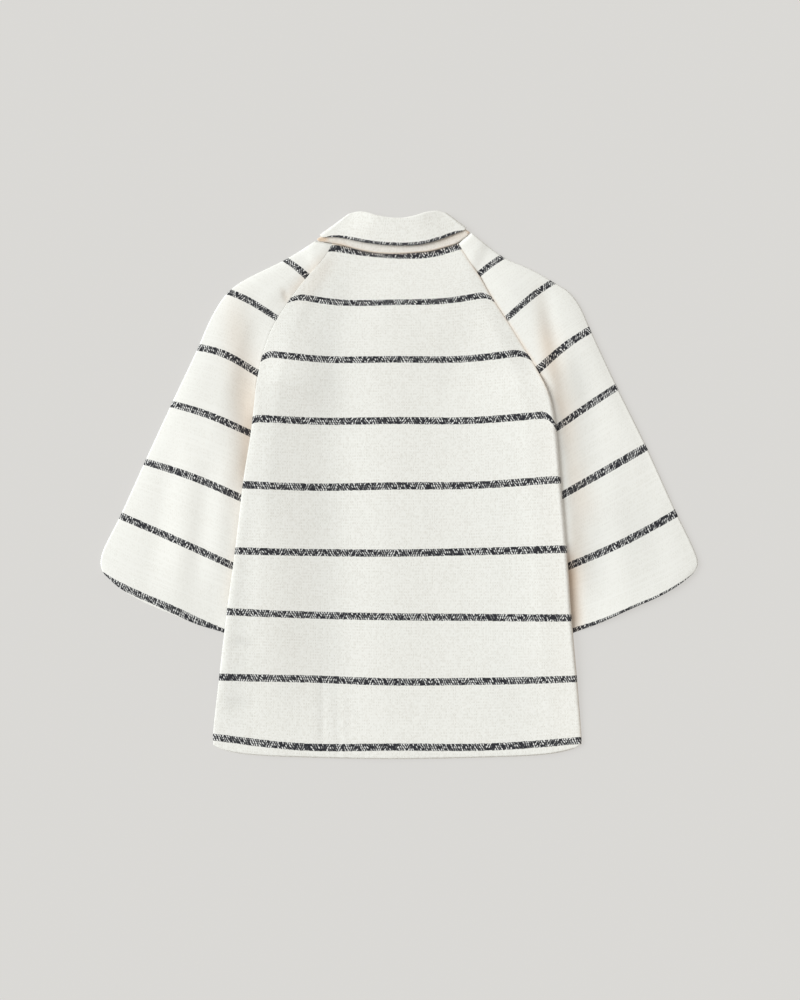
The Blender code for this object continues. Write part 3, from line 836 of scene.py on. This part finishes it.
def stand_sheet():
    heights = np.linspace(STAND_TOP_PART, 0.0, STAND_ROWS)
    rows = [collar_row(height, STAND_OFFSET, "stand") for height in heights]
    points, weft, stripe = collar_sheet(rows)
    x, y = points[..., 0], points[..., 1]
    # The whole stand is darkened with warm painted shade from the leaf above it, most along the neck
    # seam and at its ends
    from_seam = stripe * STRIPE_PITCH
    painted_shade = STAND_PAINTED_SHADE + STAND_SEAM_PAINTED_SHADE * np.exp(-((from_seam / STAND_PAINTED_SHADE_WIDTH) ** 2))
    return points, weft, stripe, painted_shade + creases(STAND_PAINTED_SHADES, x, y), 0.0 * x


def leaf_sheet():
    """The leaf from the inner end of its roll, over the fold, down to its free edge."""
    rows = []
    for degrees in np.linspace(85.0, 0.0, ROLL_STEPS, endpoint=False):
        angle = math.radians(degrees)
        height = 1.0 - ROLL_PART * (1.0 - math.sin(angle))
        rows.append(collar_row(height, LEAF_OFFSET - ROLL_RADIUS * (1.0 - math.cos(angle)), "leaf"))
    for height in (1.0 - ROLL_PART) * np.linspace(1.0, 0.0, LEAF_ROWS) ** 1.3:
        rows.append(collar_row(height, LEAF_OFFSET, "leaf"))
    points, weft, stripe = collar_sheet(rows)
    # Painted light and shade across the leaf, lighter on its left
    painted_light_patches = creases(LEAF_PAINTED_LIGHT, points[..., 0], points[..., 1])
    return points, weft, stripe, 0.0 * painted_light_patches, painted_light_patches


# Yarns of the plain weave in millimetres, and their colours
WARP_PITCH = 1.05
WEFT_PITCH = 1.35
CROWN_FALL = (3.2, 1.6)
WHITE_YARN = (0.89, 0.885, 0.845, 1.0)
# The white darkens towards this colour with painted shade between the yarns and with random tone
WHITE_SHADE = (0.66, 0.635, 0.575, 1.0)
DARK_YARN = (0.007, 0.007, 0.011, 1.0)
DARK_FIBRE = (0.045, 0.046, 0.054, 1.0)
FLOAT_YARN = (0.82, 0.82, 0.80, 1.0)
# The colour of the warm painted shade at full depth, and how much the painted light changes brightness
PAINTED_SHADE_COLOUR = (0.84, 0.67, 0.54, 1.0)
PAINTED_LIGHT_GAIN = 0.08
YARN_DRIFT = 1.1
DRIFT_SCALE = 0.16
FIBRE_SCALE = 1.3
STRIPE_RAGGEDNESS = 0.5
STRIPE_SOFTNESS = 0.25

# Specks of white warp in the stripes: three staggered rows of slanting dashes
SPECK_PITCH = 2.1
SPECK_ROW = STRIPE_WIDTH / 3
SPECK_HALF = (0.50, 1.10)
SPECK_TILT = 0.5
SPECK_EDGE = (1.20, 0.85)
SPECK_CHANCE = (0.05, 0.90)
SPECK_WANDER = 2.0
SPECK_WANDER_SCALE = 0.25
SPECK_STAGGER = 0.37
SPECK_LEAN_SCALE = 0.09
SPECK_LEAN_LEVEL = 0.47

# Slubs are streaks of noise: how fast they change along the weft and the warp, and how sharp they are
WEFT_SLUBS = (0.035, 0.90)
WEFT_SLUB_LEVELS = (0.60, 0.74)
WARP_SLUBS = (0.80, 0.03)
WARP_SLUB_LEVELS = (0.64, 0.78)
FINE_WEFTS = (0.012, 0.42)
FINE_WEFT_LEVELS = (0.60, 0.68)
MOTTLE_SCALE = 0.035

# How much each of these darkens the white cloth, or lightens it where below nought. The crown, grid and
# yarn terms are painted shade between and across the yarns; the others are random tone, slubs and
# mottle
CROWN_SHADE = 0.30
GRID_SHADE = 0.12
YARN_SHADE = 0.06
CHANCE_SHADE = 0.52
WEFT_SLUB_SHADE = -0.12
WARP_SLUB_SHADE = -0.07
MOTTLE_SHADE = 0.20

# The weave shows fainter on the sleeves, with fine lines of bright weft
SLEEVE_WEFT_LINES = 0.3
SLEEVE_CONTRAST = 0.5

# Relief and finish of the cloth
WEFT_SLUB_RELIEF = 0.35
WARP_SLUB_RELIEF = 0.20
FUZZ_SCALE = 2.4
FUZZ_RELIEF = 0.35
BUMP_STRENGTH = 0.35
BUMP_DISTANCE = 0.00018
ROUGHNESS = (0.95, 0.82)
SPECULAR = 0.18
SHEEN = 0.15
SHEEN_ROUGHNESS = 0.5
SHEEN_TINT = (1.0, 0.98, 0.95, 1.0)


class Nodes:
    """Short ways to add shader nodes to one material."""

    def __init__(self, material):
        self.tree = material.node_tree

    def put(self, source, socket):
        if isinstance(source, bpy.types.NodeSocket):
            self.tree.links.new(source, socket)
        else:
            socket.default_value = source

    def math(self, operation, *values):
        node = self.tree.nodes.new("ShaderNodeMath")
        node.operation = operation
        for value, socket in zip(values, node.inputs):
            self.put(value, socket)
        return node.outputs[0]

    def ramp(self, value, low, high, to_low=0.0, to_high=1.0):
        """The value's range from low to high, mapped smoothly onto another."""
        node = self.tree.nodes.new("ShaderNodeMapRange")
        node.interpolation_type = "SMOOTHSTEP"
        for source, socket in zip((value, low, high, to_low, to_high), node.inputs):
            self.put(source, socket)
        return node.outputs[0]

    def mix(self, factor, a, b):
        node = self.tree.nodes.new("ShaderNodeMix")
        node.data_type = "RGBA"
        self.put(factor, node.inputs["Factor"])
        self.put(a, node.inputs["A"])
        self.put(b, node.inputs["B"])
        return node.outputs["Result"]

    def multiply(self, a, b):
        node = self.tree.nodes.new("ShaderNodeMix")
        node.data_type = "RGBA"
        node.blend_type = "MULTIPLY"
        node.inputs["Factor"].default_value = 1.0
        self.put(a, node.inputs["A"])
        self.put(b, node.inputs["B"])
        return node.outputs["Result"]

    def vector(self, x, y, z=0.0):
        node = self.tree.nodes.new("ShaderNodeCombineXYZ")
        for value, socket in zip((x, y, z), node.inputs):
            self.put(value, socket)
        return node.outputs[0]

    def noise(self, vector, scale, detail=2.0, roughness=0.5):
        node = self.tree.nodes.new("ShaderNodeTexNoise")
        self.put(vector, node.inputs["Vector"])
        node.inputs["Scale"].default_value = scale
        node.inputs["Detail"].default_value = detail
        node.inputs["Roughness"].default_value = roughness
        return node.outputs["Fac"]

    def attribute(self, name):
        node = self.tree.nodes.new("ShaderNodeAttribute")
        node.attribute_name = name
        return node.outputs["Fac"]

    def cell(self, value):
        """The whole number below a value, and how far the value is from the middle of that cell."""
        number = self.math("FLOOR", value)
        return number, self.math("SUBTRACT", self.math("SUBTRACT", value, number), 0.5)

    def yarn_crown(self, across, along):
        """The height of a rounded yarn, by the squares of the distances across it and along it."""
        fall = self.math("MULTIPLY", across, CROWN_FALL[0])
        fall = self.math("ADD", fall, self.math("MULTIPLY", along, CROWN_FALL[1]))
        return self.math("SUBTRACT", 1.0, fall)

    def streaks(self, u, v, scales, seed=0.0, detail=1.0):
        """Noise drawn out along a yarn."""
        across, along = self.math("MULTIPLY", u, scales[0]), self.math("MULTIPLY", v, scales[1])
        return self.noise(self.vector(across, along, seed), 1.0, detail)

    def specks(self, u, down, number):
        """Short slanting dashes in staggered rows, where the white warps cross the dark wefts."""
        row, in_row = self.cell(self.math("DIVIDE", down, SPECK_ROW))
        in_row = self.math("MULTIPLY", in_row, SPECK_ROW)
        wobble = self.noise(self.vector(u, down, number), SPECK_WANDER_SCALE, 0.0)
        wobble = self.math("SUBTRACT", wobble, 0.5)
        stagger = self.math("MULTIPLY_ADD", number, SPECK_STAGGER, self.math("MULTIPLY", row, 0.5))
        columns = self.math("DIVIDE", self.math("MULTIPLY_ADD", wobble, SPECK_WANDER, u), SPECK_PITCH)
        column, beside = self.cell(self.math("ADD", columns, stagger))
        beside = self.math("MULTIPLY", beside, SPECK_PITCH)
        side = self.noise(self.vector(self.math("MULTIPLY", u, SPECK_LEAN_SCALE), number), 1.0, 0.0)
        lean = self.math("SIGN", self.math("SUBTRACT", side, SPECK_LEAN_LEVEL))
        sine, cosine = math.sin(SPECK_TILT), math.cos(SPECK_TILT)
        tilted = self.math("MULTIPLY", lean, sine)
        thin = self.math("MULTIPLY", beside, cosine)
        thin = self.math("SUBTRACT", thin, self.math("MULTIPLY", in_row, tilted))
        long = self.math("MULTIPLY", beside, tilted)
        long = self.math("ADD", long, self.math("MULTIPLY", in_row, cosine))
        thin = self.math("DIVIDE", thin, SPECK_HALF[0])
        long = self.math("DIVIDE", long, SPECK_HALF[1])
        inside = self.math("ADD", self.math("MULTIPLY", thin, thin), self.math("MULTIPLY", long, long))
        chance = self.ramp(self.random(self.vector(column, row, number)), *SPECK_CHANCE)
        return self.math("MULTIPLY", self.ramp(inside, *SPECK_EDGE), chance)

    def random(self, vector):
        node = self.tree.nodes.new("ShaderNodeTexWhiteNoise")
        node.noise_dimensions = "3D"
        self.put(vector, node.inputs["Vector"])
        return node.outputs["Value"]


def cloth_material(name, striped=True, weft_lines=0.0, contrast=1.0):
    """Slubbed plain weave with dark wefts in every stripe, on the sheet's own weave coordinates."""
    material = bpy.data.materials.new(name)
    material.use_nodes = True
    n = Nodes(material)
    shader = n.tree.nodes["Principled BSDF"]
    weave = n.tree.nodes.new("ShaderNodeUVMap")
    weave.uv_map = "weave"
    split = n.tree.nodes.new("ShaderNodeSeparateXYZ")
    n.put(weave.outputs["UV"], split.inputs[0])
    weft_cm, stripe = split.outputs[0], split.outputs[1]
    u = n.math("MULTIPLY", weft_cm, 10.0)
    v = n.math("MULTIPLY", stripe, STRIPE_PITCH)
    place = n.vector(u, v)

    # Yarns wander a little, so the weave is never a perfect grid
    wander = n.math("SUBTRACT", n.noise(place, DRIFT_SCALE, 2.0), 0.5)
    drift = n.math("SUBTRACT", n.noise(n.vector(v, u), DRIFT_SCALE, 2.0), 0.5)
    yarn_u = n.math("DIVIDE", n.math("MULTIPLY_ADD", wander, YARN_DRIFT, u), WARP_PITCH)
    yarn_v = n.math("DIVIDE", n.math("MULTIPLY_ADD", drift, YARN_DRIFT, v), WEFT_PITCH)
    cell_u, in_u = n.cell(yarn_u)
    cell_v, in_v = n.cell(yarn_v)
    parity = n.math("FLOORED_MODULO", n.math("ADD", cell_u, cell_v), 2.0)
    square_u = n.math("MULTIPLY", in_u, in_u)
    square_v = n.math("MULTIPLY", in_v, in_v)
    chance = n.random(n.vector(cell_u, cell_v))

    # Warp over weft in every other cell: the upper yarn is a crown, and the cell's corners are deep and
    # darkened with painted shade
    warp_crown = n.math("MULTIPLY", n.yarn_crown(square_u, square_v), n.math("SUBTRACT", 1.0, parity))
    weft_crown = n.math("MULTIPLY", n.yarn_crown(square_v, square_u), parity)
    crown = n.math("ADD", warp_crown, weft_crown)
    slub_line = n.ramp(n.streaks(u, v, WEFT_SLUBS), *WEFT_SLUB_LEVELS)
    warp_line = n.ramp(n.streaks(u, v, WARP_SLUBS, 7.0), *WARP_SLUB_LEVELS)
    mottle = n.noise(place, MOTTLE_SCALE, 3.0)

    rib = n.math("SINE", n.math("MULTIPLY", yarn_u, math.pi))
    cord = n.math("SINE", n.math("MULTIPLY", yarn_v, math.pi))
    shade = n.math("MULTIPLY", n.math("SUBTRACT", 1.0, crown), CROWN_SHADE * contrast)
    shades = [
        (n.math("MULTIPLY", rib, cord), GRID_SHADE * contrast),
        (rib, YARN_SHADE * contrast),
        (cord, YARN_SHADE * contrast),
        (n.math("SUBTRACT", chance, 0.5), CHANCE_SHADE * contrast),
        (slub_line, WEFT_SLUB_SHADE),
        (warp_line, WARP_SLUB_SHADE),
    ]
    if weft_lines:
        fine = n.streaks(u, v, FINE_WEFTS, 3.0, 0.0)
        shades.append((n.ramp(fine, *FINE_WEFT_LEVELS), -weft_lines))
    shades.append((n.math("SUBTRACT", mottle, 0.5), MOTTLE_SHADE))
    for part, weight in shades:
        shade = n.math("MULTIPLY_ADD", part, weight, shade)
    shade = n.math("MAXIMUM", n.math("MINIMUM", shade, 1.0), 0.0)
    colour = n.mix(shade, WHITE_YARN, WHITE_SHADE)

    if striped:
        fraction = n.math("SUBTRACT", stripe, n.math("ROUND", stripe))
        across_stripe = n.math("MULTIPLY", n.math("ABSOLUTE", fraction), STRIPE_PITCH)
        ragged = n.math("SUBTRACT", n.random(n.vector(cell_u, 3.0)), 0.5)
        ragged = n.math("MULTIPLY_ADD", ragged, STRIPE_RAGGEDNESS, across_stripe)
        half = STRIPE_WIDTH / 2
        in_stripe = n.ramp(ragged, half + STRIPE_SOFTNESS, half - STRIPE_SOFTNESS)
        down = n.math("MULTIPLY_ADD", fraction, STRIPE_PITCH, half)
        speck = n.specks(u, down, n.math("ROUND", stripe))
        dark = n.mix(n.noise(place, FIBRE_SCALE, 2.0), DARK_YARN, DARK_FIBRE)
        colour = n.mix(in_stripe, colour, n.mix(speck, dark, FLOAT_YARN))
    # Warm painted shade darkens the cloth, and painted light lightens or darkens it, both carried on
    # the sheet's points
    painted_shade_tint = n.mix(n.attribute("painted_shade"), (1.0, 1.0, 1.0, 1.0), PAINTED_SHADE_COLOUR)
    light = n.math("MULTIPLY_ADD", n.attribute("painted_light"), PAINTED_LIGHT_GAIN, 1.0)
    colour = n.multiply(n.multiply(colour, painted_shade_tint), n.vector(light, light, light))
    n.put(colour, shader.inputs["Base Color"])

    relief = n.math("MULTIPLY_ADD", slub_line, WEFT_SLUB_RELIEF, crown)
    relief = n.math("MULTIPLY_ADD", warp_line, WARP_SLUB_RELIEF, relief)
    relief = n.math("MULTIPLY_ADD", n.noise(place, FUZZ_SCALE, 3.0), FUZZ_RELIEF, relief)
    bump = n.tree.nodes.new("ShaderNodeBump")
    bump.inputs["Strength"].default_value = BUMP_STRENGTH * contrast
    bump.inputs["Distance"].default_value = BUMP_DISTANCE
    n.put(relief, bump.inputs["Height"])
    n.put(bump.outputs["Normal"], shader.inputs["Normal"])
    n.put(n.ramp(crown, 0.2, 1.0, *ROUGHNESS), shader.inputs["Roughness"])
    shader.inputs["Specular IOR Level"].default_value = SPECULAR
    shader.inputs["Sheen Weight"].default_value = SHEEN
    shader.inputs["Sheen Roughness"].default_value = SHEEN_ROUGHNESS
    shader.inputs["Sheen Tint"].default_value = SHEEN_TINT
    return material


def cloth_piece(name, sheet, material, faces_up=True, slit_rows=0):
    """A shown sheet of cloth, with its outer face on the points and its thickness inside."""
    points, weft, stripe, painted_shade, painted_light = sheet
    rows, columns = points.shape[:2]
    index = np.arange(rows * columns).reshape(rows, columns)
    corners = np.stack([index[:-1, :-1], index[1:, :-1], index[1:, 1:], index[:-1, 1:]], axis=-1)
    whole = np.ones(corners.shape[:2], bool)
    whole[:slit_rows, whole.shape[1] // 2] = False
    faces = corners[whole]
    if not faces_up:
        faces = faces[:, ::-1]
    mesh = bpy.data.meshes.new(name)
    mesh.from_pydata((points.reshape(-1, 3) * MM).tolist(), [], faces.tolist())
    weave = mesh.uv_layers.new(name="weave")
    coordinates = np.stack([weft.ravel() / 10.0, stripe.ravel()], axis=-1)[faces.ravel()]
    weave.uv.foreach_set("vector", coordinates.astype(np.float32).ravel())
    # Painted shade and painted light are kept on the points
    for attribute, values in (("painted_shade", painted_shade), ("painted_light", painted_light)):
        layer = mesh.attributes.new(attribute, "FLOAT", "POINT")
        layer.data.foreach_set("value", values.astype(np.float32).ravel())
    mesh.shade_smooth()
    mesh.materials.append(material)
    piece = bpy.data.objects.new(name, mesh)
    bpy.context.scene.collection.objects.link(piece)
    wall = piece.modifiers.new("wall", "SOLIDIFY")
    wall.thickness = CLOTH * MM
    wall.offset = -1.0
    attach(piece, "root")
    return piece


def main():
    sheet = body_sheet(back_neck, BODY_COLUMNS, BODY_ROWS, True)
    back = cloth_piece("back_cloth", sheet, cloth_material("back_weave"))
    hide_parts("back")

    front_length = NECK_CORNERS[0] - FRONT_NECK_DROP - HEM[4][1]
    front = cloth_piece(
        "front_cloth",
        body_sheet(front_neck, FRONT_COLUMNS, FRONT_ROWS, False),
        cloth_material("front_weave"),
        faces_up=False,
        slit_rows=round(SLIT_LENGTH / front_length * FRONT_ROWS),
    )
    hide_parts("front")

    left = sleeve_sheet(
        LEFT_SLEEVE,
        1,
        LEFT_INNER_EDGE,
        LEFT_BOWS,
        LEFT_CUFF,
        LEFT_SLEEVE_CREASES,
        LEFT_SLEEVE_PAINTED_SHADES,
        LEFT_SLEEVE_PAINTED_LIGHT,
    )
    right = sleeve_sheet(
        RIGHT_SLEEVE,
        2,
        RIGHT_INNER_EDGE,
        RIGHT_BOWS,
        RIGHT_CUFF,
        RIGHT_SLEEVE_CREASES,
        RIGHT_SLEEVE_PAINTED_SHADES,
        RIGHT_SLEEVE_PAINTED_LIGHT,
    )
    pieces = (
        ("sleeve_left", left, True, LEFT_SLEEVE_CUT),
        ("sleeve_right", right, False, RIGHT_SLEEVE_CUT),
    )
    for name, sheet, faces_up, cut in pieces:
        material = cloth_material(name + "_weave", True, SLEEVE_WEFT_LINES, SLEEVE_CONTRAST)
        sleeve = cloth_piece(name + "_cloth", sheet, material, faces_up)
        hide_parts(name)

    material = cloth_material("stand_weave", striped=False)
    stand = cloth_piece("stand_cloth", stand_sheet(), material)
    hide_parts("collar_stand")

    leaf = cloth_piece("leaf_cloth", leaf_sheet(), cloth_material("leaf_weave"))
    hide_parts("collar_leaf")

    add_floor()
    add_lights()
    add_camera()


# The floor glows a little, so that it stays as even as studio paper and takes only faint shadows
FLOOR_COLOUR = (0.13, 0.13, 0.13, 1.0)
FLOOR_GLOW = (0.573, 0.562, 0.540, 1.0)
FLOOR_HALF = 3000.0
FLOOR_ROUGHNESS = 0.95
FLOOR_SPECULAR = 0.1


def add_floor():
    mesh = bpy.data.meshes.new("floor")
    half = FLOOR_HALF * MM
    corners = [(-half, -half, 0), (half, -half, 0), (half, half, 0), (-half, half, 0)]
    mesh.from_pydata(corners, [], [(0, 1, 2, 3)])
    floor = bpy.data.objects.new("floor", mesh)
    bpy.context.scene.collection.objects.link(floor)
    material = bpy.data.materials.new("floor_paper")
    material.use_nodes = True
    shader = material.node_tree.nodes["Principled BSDF"]
    shader.inputs["Base Color"].default_value = FLOOR_COLOUR
    shader.inputs["Roughness"].default_value = FLOOR_ROUGHNESS
    shader.inputs["Specular IOR Level"].default_value = FLOOR_SPECULAR
    shader.inputs["Emission Color"].default_value = FLOOR_GLOW
    shader.inputs["Emission Strength"].default_value = 1.0
    mesh.materials.append(material)


# The key light is a broad soft sun from the upper left, and the rest comes from all round
KEY_TOWARDS = (-1.0, 0.3, 0.75)
KEY_STRENGTH = 3.04
KEY_ANGLE = 40.0
KEY_COLOUR = (0.93, 0.98, 1.0)
WORLD_COLOUR = (1.0, 0.955, 0.90, 1.0)
WORLD_STRENGTH = 0.463


def add_lights():
    light = bpy.data.lights.new("key", "SUN")
    light.angle = math.radians(KEY_ANGLE)
    light.energy = KEY_STRENGTH
    light.color = KEY_COLOUR
    key = bpy.data.objects.new("key", light)
    key.rotation_mode = "QUATERNION"
    key.rotation_quaternion = Vector(KEY_TOWARDS).to_track_quat("Z", "Y")
    bpy.context.scene.collection.objects.link(key)
    world = bpy.data.worlds.new("studio")
    world.use_nodes = True
    background = world.node_tree.nodes["Background"]
    background.inputs["Color"].default_value = WORLD_COLOUR
    background.inputs["Strength"].default_value = WORLD_STRENGTH
    bpy.context.scene.world = world


# The picture's frame: the point on the table under its middle, and its long side in millimetres
VIEW_CENTRE = (0.9, -13.5)
VIEW_LONG_SIDE = 900.0
VIEW_LEVEL = 4.0
LENS = 85.0
SENSOR = 36.0


def add_camera():
    data = bpy.data.cameras.new("camera")
    data.lens = LENS
    data.sensor_width = SENSOR
    data.clip_start = 0.05
    data.clip_end = 20.0
    camera = bpy.data.objects.new("camera", data)
    height = VIEW_LONG_SIDE * LENS / SENSOR + VIEW_LEVEL
    camera.location = (VIEW_CENTRE[0] * MM, VIEW_CENTRE[1] * MM, height * MM)
    bpy.context.scene.collection.objects.link(camera)
    bpy.context.scene.camera = camera


main()
bpy.context.scene.view_settings.view_transform = "Standard"
